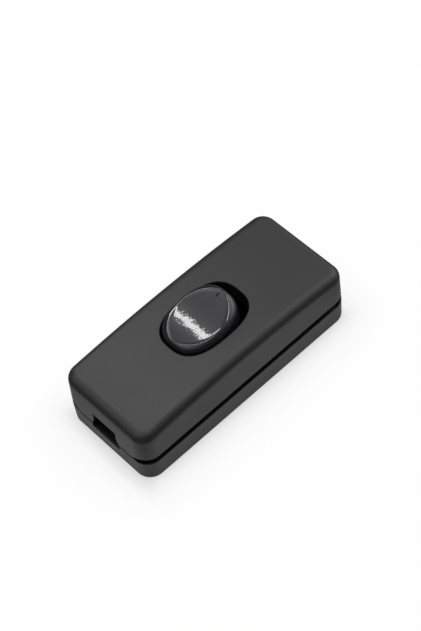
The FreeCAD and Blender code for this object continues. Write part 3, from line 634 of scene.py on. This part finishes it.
class RockerForm:
    """Outer surface of the rocker about its pivot, level.

    The wall at height z is a superellipse of half sizes a = skirt - end lean * t^p and
    b = skirt - side lean * t^q, where t runs from 0 at the top of the straight skirt to 1 at the rim's
    middle height. The dish is a lying cylinder, R - sqrt(R^2 - x^2), that curls up to the rim on a circle.
    """

    def __init__(self, settings, columns):
        self.settings = settings
        self.ux, self.uy = superellipse(outline_turns(columns), settings.outline_power)
        self.skirt_a = settings.skirt_length / 2
        self.skirt_b = settings.skirt_width / 2
        self.rim_z = settings.rim_height - PIVOT.z
        self.foot_z = self.rim_z - settings.skirt_depth
        self.straight_z = self.foot_z + settings.skirt_straight
        self.rim = self.wall_row(self.rim_line())
        along = np.roll(self.rim[:, :2], -1, 0) - np.roll(self.rim[:, :2], 1, 0)
        normal = np.stack([along[:, 1], -along[:, 0]], -1) / np.linalg.norm(along, axis=1)[:, None]
        self.reach = np.einsum("ij,ij->i", normal, self.rim[:, :2])

    def wall_row(self, z):
        """One row of the wall, at a height for each column."""
        s = self.settings
        t = np.clip((z - self.straight_z) / (self.rim_z - self.straight_z), 0, None)
        a = self.skirt_a - s.end_lean * t ** s.end_swell
        b = self.skirt_b - s.side_lean * t ** s.side_swell
        return np.stack([a * self.ux, b * self.uy, z + 0 * self.ux], -1)

    def dish_height(self, x):
        """Height of the dish's cylinder."""
        radius = self.settings.dish_radius
        return self.rim_z - self.settings.dish_depth + radius - np.sqrt(radius ** 2 - x ** 2)

    def rim_line(self):
        """Height of the rim in each column, where the wall meets the curl, found by repeated tries."""
        z = np.full(self.ux.shape, self.rim_z)
        for _ in range(RIM_TRIES):
            z = self.dish_height(self.wall_row(z)[:, 0]) + self.settings.dish_depth
        return z

    def dish_row(self, inset):
        """Row of the dish, drawn in from the rim by an inset in each column, square to the rim."""
        s = self.settings
        share = np.clip(1 - inset / self.reach, 0, 1)
        x = self.rim[:, 0] * share
        curl_radius = (s.dish_curl ** 2 + s.dish_depth ** 2) / (2 * s.dish_depth)
        climb = np.clip(s.dish_curl - inset, 0, None)
        z = self.dish_height(x) + curl_radius - np.sqrt(curl_radius ** 2 - climb ** 2)
        return np.stack([x, self.rim[:, 1] * share, z], -1)


def shares(part):
    """Shares from 0 to 1, one for each row of a part of the rocker's skin."""
    return np.linspace(0, 1, SKIN_ROWS[part])


def rocker_skin(settings, columns=432):
    """Outer and inner skin of the rocker as one closed grid about its pivot, level.

    Rows run from the middle of the dish to the rim, round the rim on the curve
    p(u) = (1-u)^2 A + 2u(1-u) B + u^2 C between the curl, the sharp rim and the wall, down the wall, round
    the foot and back inside to the ceiling.
    """
    form = RockerForm(settings, columns)
    rounding = settings.rim_rounding
    curl = settings.dish_curl
    rows = [form.dish_row(curl + (form.reach - curl) * (1 - share)) for share in shares("dish")]
    rows += [form.dish_row(inset) for inset in np.linspace(curl, rounding, SKIN_ROWS["curl"])[1:]]
    before = rows[-1]
    after = form.wall_row(form.rim[:, 2] - rounding)
    for u in shares("rim")[1:]:
        rows.append((1 - u) ** 2 * before + 2 * u * (1 - u) * form.rim + u ** 2 * after)
    start = after[:, 2]
    end = form.foot_z + FOOT_ROUNDING
    rows += [form.wall_row(start + (end - start) * share) for share in shares("wall")[1:]]
    outer = form.wall_row(np.full(columns, form.foot_z))

    def straight_row(inset, z):
        """Row of the straight skirt, drawn in and at one height."""
        row = outer.copy()
        row[:, 0] *= 1 - inset / form.skirt_a
        row[:, 1] *= 1 - inset / form.skirt_b
        row[:, 2] = z
        return row

    for turn in np.linspace(0, math.pi, SKIN_ROWS["foot"])[1:]:
        inset = settings.wall / 2 * (1 - math.cos(turn))
        rows.append(straight_row(inset, form.foot_z + FOOT_ROUNDING * (1 - math.sin(turn))))
    ceiling = form.rim_z - settings.dish_depth - settings.wall
    for share in shares("inside")[1:]:
        rows.append(straight_row(settings.wall, end + (ceiling - end) * share))
    for share in shares("ceiling")[1:]:
        row = straight_row(settings.wall, ceiling)
        row[:, :2] *= 1 - share
        rows.append(row)
    return np.stack(rows)


def rocker_inside(settings):
    """Cheeks with their bosses and trunnions, the spring's tube and the cross rib, about the pivot."""
    rim_z = settings.rim_height - PIVOT.z
    ceiling = rim_z - settings.dish_depth - settings.wall + OVERLAP
    inner = settings.skirt_width / 2 - settings.wall
    cheek_top = rim_z - settings.skirt_depth + settings.skirt_straight
    turns = np.linspace(math.pi, 2 * math.pi, 40)
    arc = settings.cheek_radius * np.stack([np.cos(turns), np.sin(turns)], -1)
    top = np.array([(settings.cheek_radius, cheek_top), (-settings.cheek_radius, cheek_top)])
    cheek = np.concatenate([arc, top])
    rib = np.array([(-0.5, -1), (0.5, -1), (0.5, 1), (-0.5, 1)]) * (settings.rib_width, inner)
    tube = tube_grid(settings.tube_radius, settings.tube_bore, settings.tube_foot, settings.tube_top,
                     ceiling)
    grids = [tube, slab_grid(rib, settings.rib_width, ceiling, 2)]
    for side in (-1, 1):
        for outline, reach in ((cheek, settings.skirt_width / 2 - OVERLAP),
                               (circle(settings.shoulder_radius), settings.shoulder_reach),
                               (circle(settings.trunnion_radius), settings.trunnion_reach)):
            grid = slab_grid(outline, inner, reach, 1)
            grid[..., 1] *= side
            grids.append(grid)
    return grids


def mark_dish(piece, settings, columns=288):
    """Attribute "dish" on the rocker: 1 on the dish, falling to 0 at its rim, and 0 on every other face.

    It is the superellipse radius r = (|x/a|^n + |y/b|^n)^(1/n) of each point of the upper face, about the
    pivot and level, as (1 - r) / fall kept within 0 and 1.
    """
    place = np.empty(len(piece.data.vertices) * 3)
    piece.data.vertices.foreach_get("co", place)
    x, y, z = (place.reshape(-1, 3) - np.array(PIVOT)).T
    along = x * math.cos(TILT) + z * math.sin(TILT)
    height = z * math.cos(TILT) - x * math.sin(TILT)
    form = RockerForm(settings, columns)
    power = settings.outline_power
    a, b = np.abs(form.rim[:, :2]).max(0)
    radius = (np.abs(along / a) ** power + np.abs(y / b) ** power) ** (1 / power)
    upper = height > form.dish_height(np.clip(along, -a, a)) - OVERLAP
    share = np.where(upper, np.clip((1 - radius) / DISH_FALL, 0, 1), 0)
    layer = piece.data.attributes.new("dish", "FLOAT", "POINT")
    layer.data.foreach_set("value", share.astype(np.float32))


def on_mark(settings, columns=32):
    """Small dash on the dish near its raised end: a stadium outline laid on the dish's cylinder."""
    form = RockerForm(settings, columns)
    half = settings.mark_width / 2
    turns = outline_turns(columns)
    x = half * np.cos(turns) + np.sign(np.cos(turns)) * (settings.mark_length / 2 - half)
    outline = np.stack([x, half * np.sin(turns)], -1) + np.array(settings.mark_place)
    grid = slab_grid(outline, -MARK_SUNK, MARK_PROUD, 2, bevel=MARK_BEVEL)
    grid[..., 2] += form.dish_height(grid[..., 0])
    return grid


def coil_grid(radius, wire, foot, top, turns, steps=32, columns=12):
    """Round wire of a coil spring about Z, closed at both ends.

    At share s of its length it is a ring of the wire's radius, round the point at angle 2pi * turns * s on
    the circle of the given radius, at height foot + (top - foot) * s.
    """
    share = np.linspace(0, 1, int(turns * steps) + 1)[:, None]
    turn = 2 * math.pi * turns * share
    ring = outline_turns(columns)
    out = radius + wire / 2 * np.cos(ring)
    height = foot + (top - foot) * share + wire / 2 * np.sin(ring)
    grid = np.stack([out * np.cos(turn), out * np.sin(turn), height], -1)
    tips = np.broadcast_to(grid[[0, -1]].mean(1, keepdims=True), (2, columns, 3))
    return np.concatenate([tips[:1], grid, tips[1:]])


def in_rocker(grid):
    """Turns a grid about the rocker's pivot to its rest, left end down, and moves it into the housing."""
    c, s = math.cos(TILT), math.sin(TILT)
    x = grid[..., 0] * c - grid[..., 2] * s
    z = grid[..., 0] * s + grid[..., 2] * c
    return np.stack([x, grid[..., 1], z], -1) + np.array(PIVOT)


# Operators

class SWITCH_OT_finish_shells(bpy.types.Operator):
    """Gives the cover and the base their satin moulded plastic"""
    bl_idname = "switch.finish_shells"
    bl_label = "Finish the shells"

    def execute(self, context):
        settings = context.scene.switch_housing
        finish(SHELLS, "Satin black plastic", moulded_grain, settings.colour, {
            "Size": settings.grain_size, "Depth": settings.grain_depth, "Roughness": settings.roughness,
            "Spread": 0.08, "Cloud size": 7 * MM})
        return {"FINISHED"}


class SWITCH_OT_build_rocker(bpy.types.Operator):
    """Builds the dished rocker with its skirt, cheeks, trunnions and spring tube"""
    bl_idname = "switch.build_rocker"
    bl_label = "Build the rocker"

    def execute(self, context):
        settings = context.scene.switch_rocker
        material = finish(["rocker_button"], "Gloss black plastic", drawn_grain, settings.colour, {
            "Size": settings.scuff_size, "Stretch": 2.2, "Detail": 1.0, "Roughness": settings.roughness,
            "Spread": 0.04, "Wander": 1.3, "Wander size": 2.2 * MM})
        tree = material.node_tree
        shader = tree.nodes["Principled BSDF"]
        shader.inputs["Coat Roughness"].default_value = settings.haze_roughness
        dish = add_node(tree, "ShaderNodeAttribute", attribute_name="dish").outputs["Fac"]
        hazy = smooth_ramp(tree, dish, HAZE_START, HAZE_FULL)
        tree.links.new(maths(tree, "MULTIPLY", hazy, settings.haze), shader.inputs["Coat Weight"])
        scuffed = smooth_ramp(tree, dish, SCUFF_START, SCUFF_FULL)
        depth = maths(tree, "MULTIPLY", scuffed, settings.scuff_depth)
        tree.links.new(depth, tree.nodes["Drawn grain"].inputs["Depth"])
        grids = [rocker_skin(settings)] + rocker_inside(settings)
        piece = closed_piece("rocker_skin", [in_rocker(grid) for grid in grids], material)
        mark_dish(piece, settings)
        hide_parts("rocker_button")
        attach(piece, "rocker")
        return {"FINISHED"}


class SWITCH_OT_print_mark(bpy.types.Operator):
    """Prints the on mark on the rocker's dish"""
    bl_idname = "switch.print_mark"
    bl_label = "Print the on mark"

    def execute(self, context):
        settings = context.scene.switch_rocker
        ink = new_material("On mark", moulded_grain, settings.mark_colour, {
            "Size": 0.1 * MM, "Depth": 0.002 * MM, "Roughness": 0.6, "Spread": 0.1, "Cloud size": 0.5 * MM})
        ink.node_tree.nodes["Principled BSDF"].inputs["Specular IOR Level"].default_value = 0.12
        mark = closed_piece("on_mark", [in_rocker(on_mark(settings))], ink)
        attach(mark, "rocker")
        return {"FINISHED"}


class SWITCH_OT_finish_contacts(bpy.types.Operator):
    """Gives the lever, the terminals and the link their stamped brass, and the contacts their silver"""
    bl_idname = "switch.finish_contacts"
    bl_label = "Finish the contacts"

    def execute(self, context):
        settings = context.scene.switch_mechanism
        finish(BRASS_PARTS, "Stamped brass", drawn_grain, settings.brass_colour, {
            "Size": 0.25 * MM, "Stretch": 10.0, "Roughness": 0.3, "Spread": 0.25, "Depth": 0.004 * MM}, 1.0)
        finish(SILVER_PARTS, "Silver contact", drawn_grain, settings.silver_colour, {
            "Size": 0.15 * MM, "Stretch": 1.0, "Roughness": 0.28, "Spread": 0.2, "Depth": 0.003 * MM}, 1.0)
        return {"FINISHED"}


class SWITCH_OT_finish_screws(bpy.types.Operator):
    """Gives the screws and the wire plates their zinc plated steel"""
    bl_idname = "switch.finish_screws"
    bl_label = "Finish the screws"

    def execute(self, context):
        settings = context.scene.switch_mechanism
        finish(SCREWS + WIRE_PLATES, "Zinc plated steel", drawn_grain, settings.steel_colour, {
            "Size": 0.3 * MM, "Stretch": 3.0, "Roughness": 0.32, "Spread": 0.3, "Depth": 0.005 * MM}, 1.0)
        return {"FINISHED"}


class SWITCH_OT_build_spring(bpy.types.Operator):
    """Builds the coil spring between the plunger and the rocker's tube, in place of the CAD spring"""
    bl_idname = "switch.build_spring"
    bl_label = "Build the spring"

    def execute(self, context):
        settings = context.scene.switch_mechanism
        wire = finish(["contact_spring"], "Spring wire", drawn_grain, settings.wire_colour, {
            "Size": 0.1 * MM, "Stretch": 1.0, "Roughness": 0.25, "Spread": 0.15, "Depth": 0.001 * MM}, 1.0)
        ends = np.array([(0, 0, settings.spring_foot), (0, 0, settings.spring_top)])
        coil = coil_grid(settings.spring_radius, settings.spring_wire, *ends[:, 2], settings.spring_turns)
        spring = closed_piece("coil_spring", [in_rocker(coil)], wire)
        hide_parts("contact_spring")
        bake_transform(spring)
        return {"FINISHED"}


class SWITCH_OT_finish_plunger(bpy.types.Operator):
    """Gives the plunger its ivory nylon"""
    bl_idname = "switch.finish_plunger"
    bl_label = "Finish the plunger"

    def execute(self, context):
        settings = context.scene.switch_mechanism
        finish(["spring_plunger"], "Ivory nylon", moulded_grain, settings.plunger_colour, {
            "Size": 0.2 * MM, "Depth": 0.003 * MM, "Roughness": 0.4, "Spread": 0.1, "Cloud size": 2 * MM})
        return {"FINISHED"}


class SWITCH_OT_finish_clamps(bpy.types.Operator):
    """Gives the two cord clamps their moulded plastic"""
    bl_idname = "switch.finish_clamps"
    bl_label = "Finish the cord clamps"

    def execute(self, context):
        settings = context.scene.switch_mechanism
        finish(CLAMPS, "Clamp plastic", moulded_grain, settings.clamp_colour, {
            "Size": 0.3 * MM, "Depth": 0.006 * MM, "Roughness": 0.38, "Spread": 0.1, "Cloud size": 3 * MM})
        return {"FINISHED"}


class SWITCH_OT_set_stage(bpy.types.Operator):
    """Sets the table, the room's light, the strip light and the camera"""
    bl_idname = "switch.set_stage"
    bl_label = "Set the stage"

    def execute(self, context):
        settings = context.scene.switch_stage
        place_floor(settings)
        light_room(settings)
        hang_strip(settings)
        place_camera(settings)
        context.scene.view_settings.view_transform = "Standard"
        return {"FINISHED"}


def ray_kinds(tree):
    """1 for rays from the camera, and 1 for rays from a glossy surface or through a clear one."""
    path = add_node(tree, "ShaderNodeLightPath")
    mirrored = maths(tree, "ADD", path.outputs["Is Glossy Ray"], path.outputs["Is Transmission Ray"])
    return path.outputs["Is Camera Ray"], mirrored


def smooth_ramp(tree, value, start, end, low=0.0):
    """Smooth step of a socket from a low value at start to 1 at end."""
    ramp = add_node(tree, "ShaderNodeMapRange", interpolation_type="SMOOTHSTEP")
    ramp.inputs["From Min"].default_value = start
    ramp.inputs["From Max"].default_value = end
    ramp.inputs["To Min"].default_value = low
    tree.links.new(value, ramp.inputs["Value"])
    return ramp.outputs[0]


def base_distance(tree, place):
    """Distance of a place on the table from the footprint: the length of max(|place| - half size, 0)."""
    side = vector_maths(tree, "ABSOLUTE", place).outputs[0]
    past = vector_maths(tree, "SUBTRACT", side, (CAD_BOX[1][0], CAD_BOX[1][1], 0)).outputs[0]
    return vector_maths(tree, "LENGTH", vector_maths(tree, "MAXIMUM", past).outputs[0]).outputs["Value"]


def place_floor(settings):
    """White table.

    The camera sees plain white mixed with the lit table, whose shadow shows more near the base: the
    white's share is white - contact * exp(-distance / reach), so near the base there is painted shade as
    well as the real shadow. Glossy surfaces see it white too, times 1 - contact * exp(-distance / reach),
    a painted shadow near the base, and fading away from the middle. From below it is clear.
    """
    half = TABLE_HALF
    corners = [(x, y, -TABLE_DROP) for x, y in ((-half, -half), (half, -half), (half, half), (-half, half))]
    mesh = bpy.data.meshes.new("floor")
    mesh.from_pydata(corners, [], [(0, 1, 2, 3)])
    material = bpy.data.materials.new("White table")
    material.use_nodes = True
    tree = material.node_tree
    tree.nodes.remove(tree.nodes["Principled BSDF"])
    lit = add_node(tree, "ShaderNodeBsdfDiffuse")
    lit.inputs["Color"].default_value = TABLE_COLOUR
    glow = add_node(tree, "ShaderNodeEmission")
    glow.inputs["Color"].default_value = WHITE
    camera, mirrored = ray_kinds(tree)
    place = add_node(tree, "ShaderNodeTexCoord").outputs["Object"]
    # Painted shade near the base: less white to the camera, and a dimmer table in mirrors
    fall = maths(tree, "DIVIDE", base_distance(tree, place), -settings.contact_reach)
    contact = maths(tree, "MULTIPLY", maths(tree, "EXPONENT", fall, 0.0), settings.contact_share)
    from_middle = vector_maths(tree, "LENGTH", place).outputs["Value"]
    fade = smooth_ramp(tree, from_middle, settings.mirror_far, settings.mirror_near, settings.mirror_rest)
    shown = maths(tree, "MULTIPLY", maths(tree, "SUBTRACT", 1.0, contact), settings.mirror_white)
    reflected = maths(tree, "MULTIPLY", mirrored, maths(tree, "MULTIPLY", shown, fade))
    tree.links.new(maths(tree, "ADD", camera, reflected), glow.inputs["Strength"])
    direct = maths(tree, "MULTIPLY", camera, maths(tree, "SUBTRACT", settings.table_white, contact))
    mix = add_node(tree, "ShaderNodeMixShader")
    tree.links.new(maths(tree, "ADD", direct, mirrored), mix.inputs[0])
    tree.links.new(lit.outputs[0], mix.inputs[1])
    tree.links.new(glow.outputs[0], mix.inputs[2])
    sides = add_node(tree, "ShaderNodeMixShader")
    tree.links.new(add_node(tree, "ShaderNodeNewGeometry").outputs["Backfacing"], sides.inputs[0])
    tree.links.new(mix.outputs[0], sides.inputs[1])
    tree.links.new(add_node(tree, "ShaderNodeBsdfTransparent").outputs[0], sides.inputs[2])
    tree.links.new(sides.outputs[0], tree.nodes["Material Output"].inputs["Surface"])
    mesh.materials.append(material)
    add_object("floor", mesh)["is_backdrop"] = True


def glow_light(tree, place, strength, spread, side):
    """Soft light from one side of the room: strength * exp(spread * (cosine to that side - 1))."""
    cosine = vector_maths(tree, "DOT_PRODUCT", place, Vector(side).normalized()).outputs["Value"]
    power = maths(tree, "MULTIPLY", maths(tree, "SUBTRACT", cosine, 1.0), spread)
    return maths(tree, "MULTIPLY", maths(tree, "EXPONENT", power, 0.0), strength)


def light_room(settings):
    """World: white to the camera, and in mirrors below the horizon; to the rest, a room with soft lights.

    Its light is the sum of four soft lights and, below the horizon, a plain glow for views from under the
    table.
    """
    world = bpy.data.worlds.new("Room")
    bpy.context.scene.world = world
    world.use_nodes = True
    tree = world.node_tree
    background = tree.nodes["Background"]
    background.inputs["Color"].default_value = WHITE
    place = add_node(tree, "ShaderNodeTexCoord").outputs["Generated"]
    height = add_node(tree, "ShaderNodeSeparateXYZ")
    tree.links.new(place, height.inputs[0])
    band = smooth_ramp(tree, height.outputs["Z"], HORIZON, -HORIZON)
    room = maths(tree, "MULTIPLY", band, settings.below_glow)
    for glow, side in ((settings.top_glow, settings.top_side), (settings.back_glow, settings.back_side),
                       (settings.far_glow, settings.far_side), (settings.front_glow, settings.front_side)):
        room = maths(tree, "ADD", glow_light(tree, place, glow, settings.glow_spread, side), room)
    camera, mirrored = ray_kinds(tree)
    white = maths(tree, "ADD", camera, maths(tree, "MULTIPLY", mirrored, band))
    mix = add_node(tree, "ShaderNodeMix", data_type="FLOAT")
    tree.links.new(white, mix.inputs["Factor"])
    tree.links.new(room, mix.inputs["A"])
    mix.inputs["B"].default_value = 1.0
    tree.links.new(mix.outputs["Result"], background.inputs["Strength"])


def aim(obj, place, target, up):
    """Puts an object at a place with its -Z towards a target."""
    back = (place - target).normalized()
    right = up.cross(back).normalized()
    turn = Matrix((right, back.cross(right), back)).transposed()
    obj.matrix_world = Matrix.Translation(place) @ turn.to_4x4()


def hang_strip(settings):
    """Strip light where the dish mirrors it to the camera; its power is 4 * area * brightness."""
    direction = Vector(settings.strip_side).normalized()
    data = bpy.data.lights.new("strip", "AREA")
    data.shape = "RECTANGLE"
    data.size = settings.strip_width
    data.size_y = settings.strip_length
    data.energy = 4 * settings.strip_width * settings.strip_length * settings.strip_radiance
    lamp = add_object("strip", data)
    target = PIVOT + Vector((0, 0, STRIP_AIM))
    aim(lamp, target + direction * settings.strip_distance, target, Vector((0, 1, 0)))


def place_camera(settings):
    """Camera at the photograph's viewing angle."""
    a, e, roll = settings.azimuth, settings.elevation, settings.roll
    back = Vector((math.sin(a) * math.cos(e), -math.cos(a) * math.cos(e), math.sin(e)))
    right = Vector((math.cos(a), math.sin(a), 0))
    up = back.cross(right)
    rolled_right = math.cos(roll) * right + math.sin(roll) * up
    rolled_up = math.cos(roll) * up - math.sin(roll) * right
    place = settings.distance * back - settings.aside * rolled_right - settings.above * rolled_up
    data = bpy.data.cameras.new("camera")
    data.sensor_width = SENSOR_WIDTH
    data.lens = settings.focal_pixels * SENSOR_WIDTH / PICTURE_HEIGHT
    data.clip_start = NEAR_LIMIT
    camera = add_object("camera", data)
    turn = Matrix((rolled_right, rolled_up, back)).transposed()
    camera.matrix_world = Matrix.Translation(place) @ turn.to_4x4()
    bpy.context.scene.camera = camera


class SWITCH_PT_panel(bpy.types.Panel):
    """Lists the steps"""
    bl_idname = "SWITCH_PT_panel"
    bl_label = "Inline cord switch"
    bl_space_type = "VIEW_3D"
    bl_region_type = "UI"
    bl_category = "Cord switch"

    def draw(self, context):
        for step in STEPS:
            self.layout.operator(step.bl_idname)


SETTINGS = {"switch_housing": HousingSettings, "switch_rocker": RockerSettings,
            "switch_mechanism": MechanismSettings, "switch_stage": StageSettings}
STEPS = (SWITCH_OT_finish_shells, SWITCH_OT_build_rocker, SWITCH_OT_print_mark, SWITCH_OT_finish_contacts,
         SWITCH_OT_finish_screws, SWITCH_OT_build_spring, SWITCH_OT_finish_plunger, SWITCH_OT_finish_clamps,
         SWITCH_OT_set_stage)


def register():
    """Registers the settings, the steps and the panel."""
    for name, group in SETTINGS.items():
        bpy.utils.register_class(group)
        setattr(bpy.types.Scene, name, bpy.props.PointerProperty(type=group))
    for step in STEPS + (SWITCH_PT_panel,):
        bpy.utils.register_class(step)


def unregister():
    """Takes them all away again."""
    for step in (SWITCH_PT_panel,) + STEPS:
        bpy.utils.unregister_class(step)
    for name, group in SETTINGS.items():
        delattr(bpy.types.Scene, name)
        bpy.utils.unregister_class(group)


def write_sizes():
    """Gathers the CAD model's box and the finished model's box."""
    boxes = {"cad": CAD_BOX, "visual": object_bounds()}
    boxes = {name: [list(corner) for corner in box] for name, box in boxes.items()}


def main():
    """Runs every step in order."""
    register()
    bpy.ops.switch.finish_shells()
    bpy.ops.switch.build_rocker()
    bpy.ops.switch.print_mark()
    bpy.ops.switch.finish_contacts()
    bpy.ops.switch.finish_screws()
    bpy.ops.switch.build_spring()
    bpy.ops.switch.finish_plunger()
    bpy.ops.switch.finish_clamps()
    bpy.ops.switch.set_stage()
    write_sizes()


if __name__ == "__main__":
    main()
